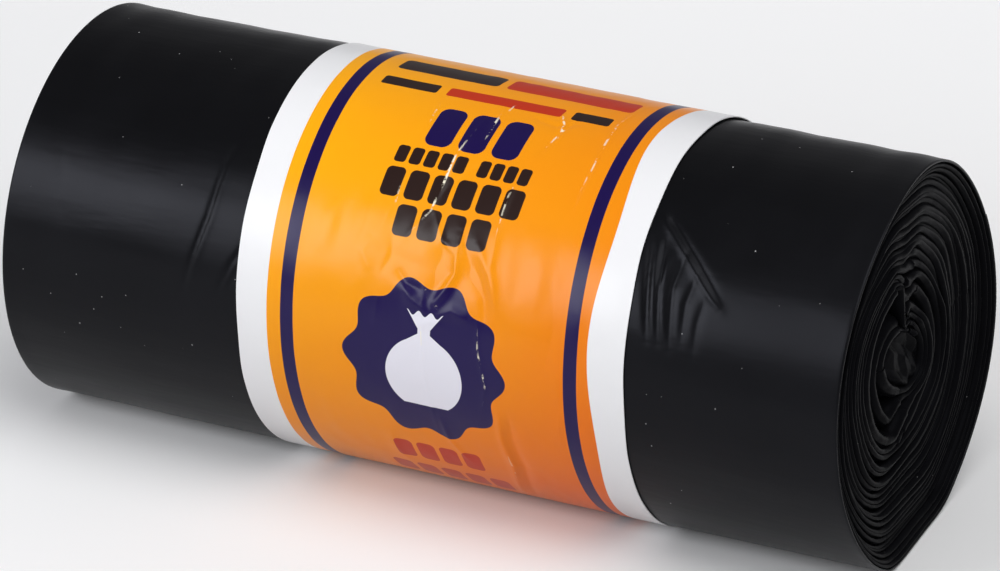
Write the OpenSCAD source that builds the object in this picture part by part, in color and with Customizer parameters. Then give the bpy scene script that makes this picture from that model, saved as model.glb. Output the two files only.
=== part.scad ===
// Roll of refuse sacks lying on its side, held by one printed paper band.
// X runs along the roll, the floor is z = 0 and the camera side is -Y.
// Angles round the roll start straight down and go by the back (+Y) to the top.

/* [Roll] */
// Length of the roll, over its leaning rims
roll_l = 234; // [150:1:320]
// Diameter of the roll
roll_d = 103; // [85:1:125]
// Depth that the roll has settled at the floor
settle = 3.2; // [1.5:0.1:5]
// Softness of the corner between the flat spot and the round side
corner_soft = 1.2; // [0.4:0.1:1.4]

/* [Turns] */
// Bunches of film from the core to the outside
turns = 14; // [10:1:16]
// Share of each turn's room that the film fills
packing = 0.84; // [0.6:0.01:0.9]
// How much tighter the outer turns are wound than the inner ones
tightness = 0.35; // [0:0.01:0.5]
// Share of a turn's room left to the outer end of the film
tail_share = 0.12; // [0.05:0.01:0.2]
// Angle where the outer end of the film lies, at the back
tail_at = 115; // [95:1:160]
// Height of the waves in the middle turns
wave = 1.1; // [0:0.1:1.4]

/* [Core] */
// Length of the flattened eye at the core
eye_l = 24; // [16:1:30]
// Height of the flattened eye at the core
eye_h = 8; // [7:0.5:12]
// Angle of the eye's long axis, from straight down
eye_turn = 62; // [20:1:80]
// Distance of the eye in front of the roll's axis
eye_front = 3.5; // [0:0.5:8]
// Height of the eye above the roll's axis
eye_up = 3; // [0:0.5:8]
// Thickness of the film's inner end, which lies flat across the eye
leader_t = 1.4; // [0.8:0.1:1.8]
// Distance of that inner end below the middle of the eye
leader_drop = 0.7; // [0:0.1:1]
// Distance that the ends of that inner end stand back
leader_in = 1.5; // [0:0.1:3]
// Distance that the middle turns lean to the front
lean_front = 4; // [0:0.5:5]
// Distance that the middle turns lean upwards
lean_up = 1.5; // [0:0.5:6]

/* [Ends] */
// Depth of the hollow in each end
dish = 5; // [3:0.5:12]
// Height of the crest along the middle of each turn's end
crest = 1.3; // [0.4:0.1:2]
// Distance that single turns stand in or out
stagger = 0.7; // [0:0.1:1.2]
// Distance that the near rim leans back at its furthest
rim_lean = 3.8; // [0:0.1:8]
// Height of the near rim's waves
rim_wave = 0.8; // [0:0.1:2]
// Distance that the far rim leans in at its furthest
far_lean = 1.2; // [0:0.1:4]

/* [Label] */
// Width of the paper band along the roll
band_w = 106.6; // [90:0.1:125]
// Distance of the band's middle from the roll's middle
band_x = 3.7; // [-12:0.1:12]
// Thickness of the paper
paper_t = 0.25; // [0.15:0.01:0.4]
// Gap between the film and the paper
paper_gap = 0.15; // [0.1:0.01:0.3]
// Angle by which the band is wound out of square
skew = 2.1; // [0:0.1:3]
// Direction of that lean round the roll
skew_turn = 57; // [0:1:180]
// Angle where the glued lap's free edge lies, at the back
lap_at = 75; // [50:1:85]
// Length of the glued lap round the roll
lap_l = 14; // [8:1:20]

/* [Print] */
// Depth of the printed colour in the paper
ink_t = 0.08; // [0.05:0.01:0.12]
// Width of the bare paper edge on the left
margin_left = 8.6; // [4:0.1:12]
// Width of the bare paper edge on the right
margin_right = 9.1; // [4:0.1:12]
// Distance from the coloured field's left edge to its stripe
stripe_in_left = 3.8; // [2:0.1:6]
// Distance from the coloured field's right edge to its stripe
stripe_in_right = 3.5; // [2:0.1:6]
// Width of each stripe
stripe_w = 3.6; // [2:0.1:5]
// Distance of the seal's middle round the roll from its top
seal_down = 82; // [78:0.5:88]
// Mean radius of the seal
seal_r = 21.1; // [16:0.1:23]
// Height of the seal's lobes to either side of that radius
lobe_h = 1.4; // [0.5:0.1:2]
// Lobes round the seal
lobes = 10; // [8:1:14]
// Width of the tied sack shown on the seal
sack_w = 21; // [12:0.5:23]

/* [Marks] */
// Height of a plain mark
mark_h = 8; // [5:0.1:9]
// Height of a small mark
small_h = 5; // [3:0.1:6]
// Height of a large mark
large_h = 13.4; // [9:0.1:15]
// Height of the broad bars
bar_h = 7.5; // [4:0.1:9]
// Height of the thin bars
thin_h = 4; // [2:0.1:5]
// Space between the seal's upper edge and the marks
seal_space = 8.6; // [6:0.1:10]
// Space between the rows of marks above the seal
row_space = 1.4; // [0.8:0.1:2]
// Space above and below the thin bars
bar_space = 5.2; // [2:0.1:6]
// Space between the seal's lower edge and the marks, and between their rows
lower_space = 4.2; // [2:0.1:6]
// Roundness of the marks' corners, as a share of their height
mark_round = 0.18; // [0.05:0.01:0.3]
// Share of a row of marks that is left between them
mark_space = 0.2; // [0.1:0.01:0.4]

/* [Hidden] */

roll_r = roll_d / 2;
flat_h = roll_r - settle;
paper_out = paper_gap + paper_t;
axis_z = flat_h + paper_out;

// Smaller of two values, with a soft corner of reach k
function soft_min(a, b, k) =
    let (near = max(k - abs(a - b), 0) / k)
    min(a, b) - near * near * k / 4;

// Radius of the roll's outline at angle a, moved outwards by o; it is flat at the floor
function outline(a, o = 0) = soft_min(roll_r + o, (flat_h + o) / max(cos(a), 0.2), corner_soft);

// Radius of the core's eye at angle a
function eye(a) =
    let (p = eye_l / 2 * sin(a - eye_turn), q = eye_h / 2 * cos(a - eye_turn))
    eye_l * eye_h / 4 / sqrt(p * p + q * q);

// Point at angle a of nested curve u, from the eye at 0 to the outline at 1
function nest(u, a) =
    let (left = 1 - u,
         middle = 4 * u * left,
         round_eye = sqrt(eye_l * eye_h) / 2,
         start = round_eye + (eye(a) - round_eye) * left * left,
         r = start * left + outline(a) * u + wave * middle * sin(4 * a + 500 * u))
    [r * sin(a) - eye_front * left - lean_front * middle,
     -r * cos(a) + eye_up * left + lean_up * middle];

// Curve that the winding has come to at share t of its turns
function wound(t) =
    let (s = min(max(t, 0), 1))
    s * (1 + tightness * (1 - s));

// How far in the ends of curve u stand, at the near and the far end
function near_in(u, a, w) = dish * (1 - pow(u, 3)) + near_rim(a) * u * u - waver(w, u);
function far_in(u, a, w) = dish * (1 - pow(u, 3)) + far_rim(a) * u * u - waver(w + 200, u);
function near_rim(a) = rim_lean / 2 * (1 - cos(a + 30)) + rim_wave * (1 + cos(3 * a - 65));
function far_rim(a) = far_lean / 2 * (1 - cos(a - 10));
function waver(w, u) = stagger * sin(1.37 * w) * (1 - u);

// The winding starts just past the back tip of the eye and ends at the film's free edge
film_steps = 50 * turns;
half = packing / turns / 2;
outer_w = 360 * (turns * (1 + half) - tail_share);
past_tip = 9;
inner_w = (outer_w + eye_turn + past_tip - tail_at) % 360;
step_bend = 0.8;
step_start = 20;

// Angle that the winding has turned by each step: the steps are shorter in length near the core
function step_way(i) = pow(i + step_start, step_bend);
film_w = [for (i = [0:film_steps])
    inner_w + (outer_w - inner_w) * (step_way(i) - step_way(0)) / (step_way(film_steps) - step_way(0))];

// Where turned angle w lies round the roll, and the curves of the film's two faces there
function film_a(w) = tail_at - outer_w + w;
function film_u(w) = [wound(w / 360 / turns - half), wound(w / 360 / turns + half)];
function film_mid(w) = (film_u(w)[0] + film_u(w)[1]) / 2;

// What stands out furthest at each end lies at the roll's full length
near_most = min([for (w = film_w) near_in(film_mid(w), film_a(w), w)]);
far_most = min([for (w = film_w) far_in(film_mid(w), film_a(w), w)]);

function near_end(w) = roll_l / 2 + near_most - near_in(film_mid(w), film_a(w), w);
function far_end(w) = far_in(film_mid(w), film_a(w), w) - far_most - roll_l / 2;

// Six corners of the film's section, with a crest at each end
function section(inside, crown, outside, near, far) =
    [[near, crown.x, crown.y], [near - crest, outside.x, outside.y],
     [far + crest, outside.x, outside.y], [far, crown.x, crown.y],
     [far + crest, inside.x, inside.y], [near - crest, inside.x, inside.y]];

// Section of the wound film at turned angle w
function film_section(w) =
    let (a = film_a(w))
    section(nest(film_u(w)[0], a), nest(film_mid(w), a), nest(film_u(w)[1], a), near_end(w), far_end(w));

// The inner end of the film runs along the eye and turns up into the wall at its back tip
leader_steps = 12;
leader_short = 3;
leader_turn = 3.2;
eye_along = [sin(eye_turn), -cos(eye_turn)];
eye_across = [cos(eye_turn), sin(eye_turn)];
function in_eye(along, across) = [-eye_front, eye_up] + along * eye_along + across * eye_across;

tip_faces = [for (u = film_u(inner_w)) nest(u, eye_turn + past_tip)];
tip_mid = (tip_faces[0] + tip_faces[1]) / 2;
tip_t = norm(tip_faces[1] - tip_faces[0]);
leader_path = [in_eye(leader_short - eye_l / 2, -leader_drop), in_eye(eye_l / 10, -1.5 * leader_drop),
               tip_mid - leader_turn * eye_across, tip_mid];

// Section of the film's inner end, from its free edge at t = 0 to the eye's wall at t = 1
function leader_section(t) =
    let (p = leader_path,
         s = 1 - t,
         mid = s * s * s * p[0] + 3 * s * s * t * p[1] + 3 * s * t * t * p[2] + t * t * t * p[3],
         way = s * s * (p[1] - p[0]) + 2 * s * t * (p[2] - p[1]) + t * t * (p[3] - p[2]),
         side = (leader_t * s + tip_t * t) / 2 / norm(way) * [-way.y, way.x])
    section(mid + side, mid, mid - side, near_end(inner_w) - leader_in * s, far_end(inner_w) + leader_in * s);

module on_axis() {
    translate([0, 0, axis_z]) children();
}

module bag_roll() {
    corners = 6;
    steps = leader_steps + film_steps;
    last = steps * corners;
    points = [for (i = [0:leader_steps - 1]) each leader_section(i / leader_steps),
              for (w = film_w) each film_section(w)];
    walls = [for (i = [0:steps - 1], k = [0:corners - 1])
        let (a = i * corners + k, b = i * corners + (k + 1) % corners)
        each [[a, b + corners, b], [a, a + corners, b + corners]]];
    inner_end = [for (k = [1:corners - 2]) [0, k, k + 1]];
    outer_end = [for (k = [1:corners - 2]) [last, last + k + 1, last + k]];
    color([0.06, 0.06, 0.08])
    on_axis() polyhedron(points, concat(walls, inner_end, outer_end));
}

// The band is a closed outline of round_n sides that starts just past the lap's free edge
round_n = 120;
lap_edge = 0.02;
lap_turn = lap_l / roll_r * 180 / PI;
lap_ramp = 2;
band_turn = [for (i = [0:round_n]) lap_at + lap_edge + i * (360 - lap_edge) / round_n];

// Lift of the paper where it lies over its own other end
function lap_lift(a) =
    paper_t * min(max((a - lap_at - 360 + lap_turn) / lap_ramp + 1, 0), 1);

// Inner face of the band, at paper_gap from the film
function band_inside() =
    [for (a = band_turn) outline(a, paper_gap) * [sin(a), -cos(a)]];

// Face of the band at depth under its outer face
function band_face(depth) =
    [for (a = band_turn) outline(a, paper_out - depth + lap_lift(a)) * [sin(a), -cos(a)]];

module along_roll() {
    rotate([90, 0, 90]) translate([0, 0, -roll_l / 2]) linear_extrude(roll_l) children();
}

// Slice of the roll from x0 to x1, leaning as the band does
module slice(x0, x1) {
    reach = 2 * roll_d;
    rotate([skew_turn, 0, 0]) rotate([0, 0, skew])
    translate([x0, -reach / 2, -reach / 2]) cube([x1 - x0, reach, reach]);
}

field_x0 = band_x - band_w / 2 + margin_left;
field_x1 = band_x + band_w / 2 - margin_right;
left_stripe = field_x0 + stripe_in_left;
right_stripe = field_x1 - stripe_in_right - stripe_w;
print_x = (left_stripe + stripe_w + right_stripe) / 2;
print_half = right_stripe - print_x;

// Room for colour between x0 and x1, open to the outside
module ink_room(x0, x1) {
    intersection() {
        along_roll() difference() {
            polygon(band_face(-1));
            polygon(band_face(ink_t));
        }
        slice(x0, x1);
    }
}

// Coloured layer between x0 and x1, level with the paper's face
module ink(x0, x1) {
    intersection() {
        along_roll() difference() {
            polygon(band_face(0));
            polygon(band_face(ink_t));
        }
        slice(x0, x1);
    }
}

module label_paper() {
    color([0.95, 0.95, 0.95])
    on_axis() difference() {
        intersection() {
            along_roll() difference() {
                polygon(band_face(0));
                polygon(band_inside());
            }
            slice(band_x - band_w / 2, band_x + band_w / 2);
        }
        ink_room(field_x0, field_x1);
    }
}

// Presses flat shapes through the band, with their middle at s round the roll from its top
stamp_depth = 9;
module stamp(s) {
    rotate([s / roll_r * 180 / PI, 0, 0])
    translate([0, 0, roll_r - stamp_depth]) linear_extrude(stamp_depth + 3) children();
}

// Height at which a point y along the paper from the stamp's middle is seen straight on
function seen(y) = roll_r * sin(y / roll_r * 180 / PI);

module seal_stamp() {
    stamp(seal_down) polygon([for (b = [0:4:356])
        let (r = seal_r + lobe_h * cos(lobes * b + 20))
        [print_x + r * cos(b), seen(r * sin(b))]]);
}

// Tied sack: a round belly with a flat base, a gathered neck and a waved frill over the knot
module sack_stamp() {
    belly = sack_w / 2;
    base = asin(0.82);
    stamp(seal_down) translate([print_x, -belly * 0.3])
    polygon(concat(
        [for (k = [0:12]) let (b = -base + k * (base + 62) / 12) belly * [cos(b), sin(b)]],
        belly * [[0.17, 1.08], [0.15, 1.2]],
        [for (k = [6:-1:-6]) belly * [0.08 * k, 1.58 - 0.06 * cos(90 * k)]],
        belly * [[-0.15, 1.2], [-0.17, 1.08]],
        [for (k = [0:12]) let (b = 118 + k * (base + 62) / 12) belly * [cos(b), sin(b)]]));
}

// Middles of the rows of plain marks, past the seal's upper or lower edge
seal_edge = seal_r + lobe_h;
last_row = -seal_space - mark_h / 2;
next_row = last_row - mark_h - row_space;
small_row = next_row - mark_h / 2 - row_space - small_h / 2;
large_row = small_row - small_h / 2 - row_space - large_h / 2;
thin_row = large_row - large_h / 2 - bar_space - thin_h / 2;
bar_row = thin_row - thin_h / 2 - bar_space - bar_h / 2;
lower_row = lower_space + mark_h / 2;
lowest_row = lower_row + mark_h + lower_space;

// Each row: its middle, its height, and its stretches from one share of the printed width to another
// with their number of marks
navy_rows = [[large_row, large_h, [[-0.39, 0.35, 3]]]];
dark_rows = [[bar_row, bar_h, [[-0.92, -0.16, 1]]],
             [thin_row, thin_h, [[-0.92, -0.5, 1], [0.5, 0.78, 1]]],
             [small_row, small_h, [[-0.52, 0.02, 5], [0.09, 0.49, 4]]],
             [next_row, mark_h, [[-0.54, 0.52, 6]]],
             [last_row, mark_h, [[-0.37, 0.36, 4]]]];
red_rows = [[bar_row, bar_h, [[-0.1, 0.84, 1]]],
            [thin_row, thin_h, [[-0.43, 0.43, 1]]],
            [lower_row, mark_h, [[-0.35, 0.33, 4]]],
            [lowest_row, mark_h, [[-0.46, 0.45, 5]]]];

// Outline of a box from x0 to x1 with height h and round corners
function soft_box(x0, x1, h) =
    let (r = min(mark_round * h, (x1 - x0) / 3))
    [for (c = [[x1 - r, h / 2 - r, 0], [x0 + r, h / 2 - r, 90], [x0 + r, r - h / 2, 180], [x1 - r, r - h / 2, 270]],
          k = [0:3])
        [c.x + r * cos(c[2] + 30 * k), c.y + r * sin(c[2] + 30 * k)]];

module rows_stamp(rows) {
    for (row = rows)
        stamp(seal_down + row[0] + (row[0] < 0 ? -seal_edge : seal_edge))
        for (run = row[2], i = [0:run[2] - 1]) {
            pitch = print_half * (run[1] - run[0]) / run[2];
            x0 = print_x + print_half * run[0] + pitch * i;
            space = run[2] == 1 ? 0 : pitch * mark_space / 2;
            polygon(soft_box(x0 + space, x0 + pitch - space, row[1]));
        }
}

module label_field() {
    color([0.96, 0.55, 0.05])
    on_axis() difference() {
        ink(field_x0, field_x1);
        ink_room(left_stripe, left_stripe + stripe_w);
        ink_room(right_stripe, right_stripe + stripe_w);
        seal_stamp();
        rows_stamp(navy_rows);
        rows_stamp(dark_rows);
        rows_stamp(red_rows);
    }
}

module label_stripes() {
    color([0.14, 0.1, 0.36])
    on_axis() for (x = [left_stripe, right_stripe]) ink(x, x + stripe_w);
}

module label_seal() {
    color([0.14, 0.1, 0.36])
    on_axis() difference() {
        intersection() {
            ink(field_x0, field_x1);
            seal_stamp();
        }
        sack_stamp();
    }
}

module seal_sack() {
    color([0.95, 0.94, 0.97])
    on_axis() intersection() {
        ink(field_x0, field_x1);
        sack_stamp();
    }
}

module navy_marks() {
    color([0.14, 0.1, 0.36])
    on_axis() intersection() {
        ink(field_x0, field_x1);
        rows_stamp(navy_rows);
    }
}

module dark_marks() {
    color([0.12, 0.08, 0.1])
    on_axis() intersection() {
        ink(field_x0, field_x1);
        rows_stamp(dark_rows);
    }
}

module red_marks() {
    color([0.72, 0.2, 0.06])
    on_axis() intersection() {
        ink(field_x0, field_x1);
        rows_stamp(red_rows);
    }
}

bag_roll();
label_paper();
label_field();
label_stripes();
label_seal();
seal_sack();
navy_marks();
dark_marks();
red_marks();
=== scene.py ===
import math

import bmesh
import bpy
import numpy as np
from mathutils import Matrix, Vector


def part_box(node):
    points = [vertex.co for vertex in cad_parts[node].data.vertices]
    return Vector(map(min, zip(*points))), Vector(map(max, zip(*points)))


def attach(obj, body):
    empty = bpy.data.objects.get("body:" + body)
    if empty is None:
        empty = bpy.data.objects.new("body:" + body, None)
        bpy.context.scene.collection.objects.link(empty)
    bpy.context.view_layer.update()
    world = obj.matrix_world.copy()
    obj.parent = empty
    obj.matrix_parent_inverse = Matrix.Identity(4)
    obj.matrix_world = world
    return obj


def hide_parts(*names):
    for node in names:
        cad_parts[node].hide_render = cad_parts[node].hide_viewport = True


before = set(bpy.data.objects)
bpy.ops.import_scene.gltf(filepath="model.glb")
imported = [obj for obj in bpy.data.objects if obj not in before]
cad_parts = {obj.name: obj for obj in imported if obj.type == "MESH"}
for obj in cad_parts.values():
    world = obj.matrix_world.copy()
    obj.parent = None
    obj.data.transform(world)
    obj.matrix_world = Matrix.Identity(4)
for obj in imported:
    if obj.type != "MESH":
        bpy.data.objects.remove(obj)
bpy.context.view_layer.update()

mm = 0.001
filmLow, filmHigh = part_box("bag_roll")
scene = bpy.context.scene

# The roll's own shape. Angles are in degrees: 0 is straight down, 90 the back, 180 the top, 270 the front
roll = {
    "length": filmHigh.x - filmLow.x,
    "radius": 51.5 * mm,
    "flatHeight": 48.3 * mm,  # from the axis down to the flat spot
    "cornerSoft": 2.4 * mm,
    "axisUp": 48.7 * mm,
    "tailAt": 115,  # where the film's free edge lies
    "tailStep": 0.28 * mm,
    "tailFade": 150,
    "nearLean": 3.8 * mm,
    "nearLeanTurn": 30,
    "nearWave": 0.8 * mm,
    "nearWaves": 3,
    "nearWaveTurn": 65,
    "farLean": 1.2 * mm,
    "farLeanTurn": 10,
}
noiseCells = 64
foldFade = 0.6  # low keeps a fold high almost to its ends
foldRound = 1.4  # 1 makes a fold sharp, 2 makes it round


def softMin(a, b, reach):
    near = np.maximum(reach - np.abs(a - b), 0) / reach
    return np.minimum(a, b) - near * near * reach / 4


def outline(angle, out=0.0):  # radius of the settled outline, moved outwards by out
    floorSide = (roll["flatHeight"] + out) / np.maximum(np.cos(np.radians(angle)), 0.2)
    return softMin(roll["radius"] + out, floorSide, roll["cornerSoft"])


def nearRim(angle):  # how far the near rim leans back
    lean = roll["nearLean"] / 2 * (1 - np.cos(np.radians(angle + roll["nearLeanTurn"])))
    wave = np.radians(roll["nearWaves"] * angle - roll["nearWaveTurn"])
    return lean + roll["nearWave"] * (1 + np.cos(wave))


def farRim(angle):
    return roll["farLean"] / 2 * (1 - np.cos(np.radians(angle - roll["farLeanTurn"])))


allRound = np.arange(0, 360, 2.0)
nearLeast = nearRim(allRound).min()


def nearX(angle):
    return roll["length"] / 2 + nearLeast - nearRim(angle)


def farX(angle):
    return farRim(angle) - roll["length"] / 2


def smooth(value, low, high):  # 0 below low, 1 above high
    share = np.clip((value - low) / (high - low), 0, 1)
    return share * share * (3 - 2 * share)


def bell(value, middle, width):  # 1 at the middle, and falls off on both sides
    return np.exp(-(((value - middle) / width) ** 2))


def inParts(places, counts):  # evenly spaced in each part, and the count of places differs from part to part
    runs = [np.linspace(*ends, count) for *ends, count in zip(places, places[1:], counts)]
    return np.concatenate([runs[0]] + [run[1:] for run in runs[1:]])


def fromBottom(angle):  # degrees away from straight down, on either side
    return np.abs((angle + 180) % 360 - 180)


def softNoise(x, y, seed, wrapX=0):  # smooth noise from -1 to 1; wrapX cells close a ring in x
    table = np.random.default_rng(seed).uniform(-1, 1, (noiseCells, noiseCells))
    ix, iy = np.floor(x).astype(int), np.floor(y).astype(int)
    fx, fy = x - ix, y - iy
    fx, fy = fx * fx * (3 - 2 * fx), fy * fy * (3 - 2 * fy)
    wrap = wrapX or noiseCells
    x0, x1, y0, y1 = ix % wrap, (ix + 1) % wrap, iy % noiseCells, (iy + 1) % noiseCells
    low = table[x0, y0] * (1 - fx) + table[x1, y0] * fx
    high = table[x0, y1] * (1 - fx) + table[x1, y1] * fx
    return low * (1 - fy) + high * fy


def nearFold(x, s, path):  # distance to a fold's path, and its strength, which fades towards both ends
    nearest = np.full_like(x, 1.0)
    along = np.zeros_like(x)
    for k in range(len(path) - 1):
        start, end = np.array(path[k]) * mm, np.array(path[k + 1]) * mm
        way = end - start
        t = np.clip(((x - start[0]) * way[0] + (s - start[1]) * way[1]) / (way @ way), 0, 1)
        gap = np.hypot(x - start[0] - t * way[0], s - start[1] - t * way[1])
        along = np.where(gap < nearest, (k + t) / (len(path) - 1), along)
        nearest = np.minimum(gap, nearest)
    return nearest, np.sin(np.pi * np.clip(along, 0.02, 0.98)) ** foldFade


def foldRelief(x, s, folds):  # height of sharp folds; a fold is its path in mm, its width and its height
    relief = np.zeros_like(x)
    for path, width, height in folds:
        nearest, strength = nearFold(x, s, path)
        relief += height * mm * strength * np.exp(-((nearest / (width * mm)) ** foldRound))
    return relief


def gridMesh(name, points, closeRound=False):  # points: rows, columns and their three coordinates
    rows, columns = points.shape[:2]
    i, j = np.meshgrid(np.arange(rows - 1), np.arange(columns if closeRound else columns - 1), indexing="ij")
    k = (j + 1) % columns
    faces = np.stack([i * columns + j, i * columns + k, (i + 1) * columns + k, (i + 1) * columns + j], -1)
    mesh = bpy.data.meshes.new(name)
    mesh.from_pydata(points.reshape(-1, 3).tolist(), [], faces.reshape(-1, 4).tolist())
    return mesh


def closeEnds(mesh, weld=0.0):  # fills a mesh's open ends, after points closer than weld have become one
    shape = bmesh.new()
    shape.from_mesh(mesh)
    if weld:
        bmesh.ops.remove_doubles(shape, verts=shape.verts, dist=weld)
    bmesh.ops.holes_fill(shape, edges=[e for e in shape.edges if e.is_boundary], sides=0)
    bmesh.ops.triangulate(shape, faces=[f for f in shape.faces if len(f.verts) > 4])
    bmesh.ops.recalc_face_normals(shape, faces=shape.faces)
    shape.to_mesh(mesh)
    shape.free()
    return mesh


def makePiece(name, mesh, material, replaced):
    piece = bpy.data.objects.new(name, mesh)
    scene.collection.objects.link(piece)
    mesh.materials.clear()
    mesh.materials.append(material)
    mesh.polygons.foreach_set("use_smooth", [True] * len(mesh.polygons))
    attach(piece, "root")
    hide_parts(*replaced)
    return piece


# Shader helpers
def feed(tree, socket, value):  # a link from another socket, or a plain value
    if isinstance(value, bpy.types.NodeSocket):
        tree.links.new(value, socket)
    else:
        socket.default_value = value


def calc(tree, operation, *values, clamp=False):  # one Math node and its result
    node = tree.nodes.new("ShaderNodeMath")
    node.operation = operation
    node.use_clamp = clamp
    for socket, value in zip(node.inputs, values):
        feed(tree, socket, value)
    return node.outputs[0]


def distance(tree, x, y):
    squares = calc(tree, "MULTIPLY", x, x), calc(tree, "MULTIPLY", y, y)
    return calc(tree, "SQRT", calc(tree, "ADD", *squares))


def mixColour(tree, mask, under, over):
    node = tree.nodes.new("ShaderNodeMix")
    node.data_type = "RGBA"
    for number, value in ((0, mask), (6, under), (7, over)):  # factor and the two colour sockets
        feed(tree, node.inputs[number], value)
    return node.outputs[2]


def newGroup(name, inputs, outputs):  # an input without a value is a vector
    group = bpy.data.node_groups.new(name, "ShaderNodeTree")
    for title, value in inputs:
        kind = "NodeSocketVector" if value is None else "NodeSocketFloat"
        socket = group.interface.new_socket(title, in_out="INPUT", socket_type=kind)
        if value is not None:
            socket.default_value = value
    for title in outputs:
        group.interface.new_socket(title, in_out="OUTPUT", socket_type="NodeSocketFloat")
    return group, group.nodes.new("NodeGroupInput"), group.nodes.new("NodeGroupOutput")


def useGroup(tree, group, **values):
    node = tree.nodes.new("ShaderNodeGroup")
    node.node_tree = group
    for title, value in values.items():
        feed(tree, node.inputs[title.replace("_", " ")], value)
    return node


def newMaterial(name):
    material = bpy.data.materials.new(name)
    material.use_nodes = True
    tree = material.node_tree
    return material, tree, tree.nodes["Principled BSDF"]


def addNoise(tree, place, scale, detail, roughness=0.5):
    node = tree.nodes.new("ShaderNodeTexNoise")
    node.inputs["Scale"].default_value = scale
    node.inputs["Detail"].default_value = detail
    node.inputs["Roughness"].default_value = roughness
    tree.links.new(place, node.inputs["Vector"])
    return node.outputs["Fac"]


def addBump(tree, height, depth, strength):
    node = tree.nodes.new("ShaderNodeBump")
    node.inputs["Strength"].default_value = strength
    node.inputs["Distance"].default_value = depth
    tree.links.new(height, node.inputs["Height"])
    return node.outputs["Normal"]


sheetGrain = {
    "soft": (1.0, 4.0),  # scale and detail of each noise
    "fine": (7.0, 3.0),
    "fineShare": 0.12,
    "mottle": (34.0, 3.0),
    "dustScale": 240.0,
    "speck": 0.02,  # a speck's least radius, as a share of its cell, and how much more it may be
    "speckMore": 0.03,
}


def crinkleGroup():  # fine unevenness of a thin sheet, and specks of dust on it
    inputs = [("Place", None), ("Scale", 60.0), ("Stretch", 0.3), ("Dust", 0.3)]
    group, inside, outside = newGroup("crinkle", inputs, ["Height", "Mottle", "Dust"])
    link = group.links.new
    get, give = inside.outputs, outside.inputs
    scaled = group.nodes.new("ShaderNodeMapping")
    link(get["Place"], scaled.inputs["Vector"])
    joined = group.nodes.new("ShaderNodeCombineXYZ")
    link(calc(group, "MULTIPLY", get["Scale"], get["Stretch"]), joined.inputs[0])
    for k in (1, 2):
        link(get["Scale"], joined.inputs[k])
    link(joined.outputs[0], scaled.inputs["Scale"])
    soft = addNoise(group, scaled.outputs[0], *sheetGrain["soft"])
    fine = addNoise(group, scaled.outputs[0], *sheetGrain["fine"])
    link(calc(group, "MULTIPLY_ADD", fine, sheetGrain["fineShare"], soft), give["Height"])
    link(addNoise(group, get["Place"], *sheetGrain["mottle"]), give["Mottle"])
    cells = group.nodes.new("ShaderNodeTexVoronoi")
    cells.inputs["Scale"].default_value = sheetGrain["dustScale"]
    link(get["Place"], cells.inputs["Vector"])
    parts = group.nodes.new("ShaderNodeSeparateColor")
    link(cells.outputs["Color"], parts.inputs[0])
    chosen = calc(group, "LESS_THAN", parts.outputs[0], get["Dust"])
    size = calc(group, "MULTIPLY_ADD", parts.outputs[1], sheetGrain["speckMore"], sheetGrain["speck"])
    dot = calc(group, "LESS_THAN", cells.outputs["Distance"], size)
    link(calc(group, "MULTIPLY", chosen, dot), give["Dust"])
    return group


crinkle = crinkleGroup()

foldShades = ((0.0024, 0.0024, 0.0028, 1), (0.005, 0.005, 0.0062, 1))  # black and worn
filmLook = {
    "wallFilm": {"shades": ((0.0015, 0.0015, 0.0017, 1), (0.0032, 0.0032, 0.004, 1)),
                 "rough": 0.34, "gloss": 0.145, "ripple": 0.34 * mm, "dust": 0.8},
    "turnFilm": {"shades": foldShades, "rough": 0.29, "gloss": 0.012, "ripple": 0.6 * mm, "dust": 0.15},
    "coreFilm": {"shades": foldShades, "rough": 0.28, "gloss": 0.005, "ripple": 0.6 * mm, "dust": 0.1},
}
filmGrain = {
    "scale": 95.0,
    "stretch": 0.22,
    "dust": (0.3, 0.3, 0.3, 1),
    "tint": (0.86, 0.88, 1.0, 1),
    "mottling": 0.2,  # how much the roughness differs from place to place
    "bump": 0.5,
}


def filmMaterial(name, shades, rough, gloss, ripple, dust):
    material, tree, shader = newMaterial(name)
    place = tree.nodes.new("ShaderNodeTexCoord").outputs["Object"]
    grain = useGroup(tree, crinkle, Place=place, Scale=filmGrain["scale"],
                     Stretch=filmGrain["stretch"], Dust=dust)
    colour = mixColour(tree, grain.outputs["Mottle"], *shades)
    colour = mixColour(tree, grain.outputs["Dust"], colour, filmGrain["dust"])
    tree.links.new(colour, shader.inputs["Base Color"])
    mottling = filmGrain["mottling"]
    roughness = calc(tree, "MULTIPLY_ADD", grain.outputs["Mottle"], mottling, rough - mottling / 2)
    tree.links.new(roughness, shader.inputs["Roughness"])
    shader.inputs["Specular IOR Level"].default_value = gloss
    shader.inputs["Specular Tint"].default_value = filmGrain["tint"]
    normal = addBump(tree, grain.outputs["Height"], ripple, filmGrain["bump"])
    tree.links.new(normal, shader.inputs["Normal"])
    return material


print("film materials")
wallFilm, turnFilm, coreFilm = [filmMaterial(name, **look) for name, look in filmLook.items()]

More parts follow.
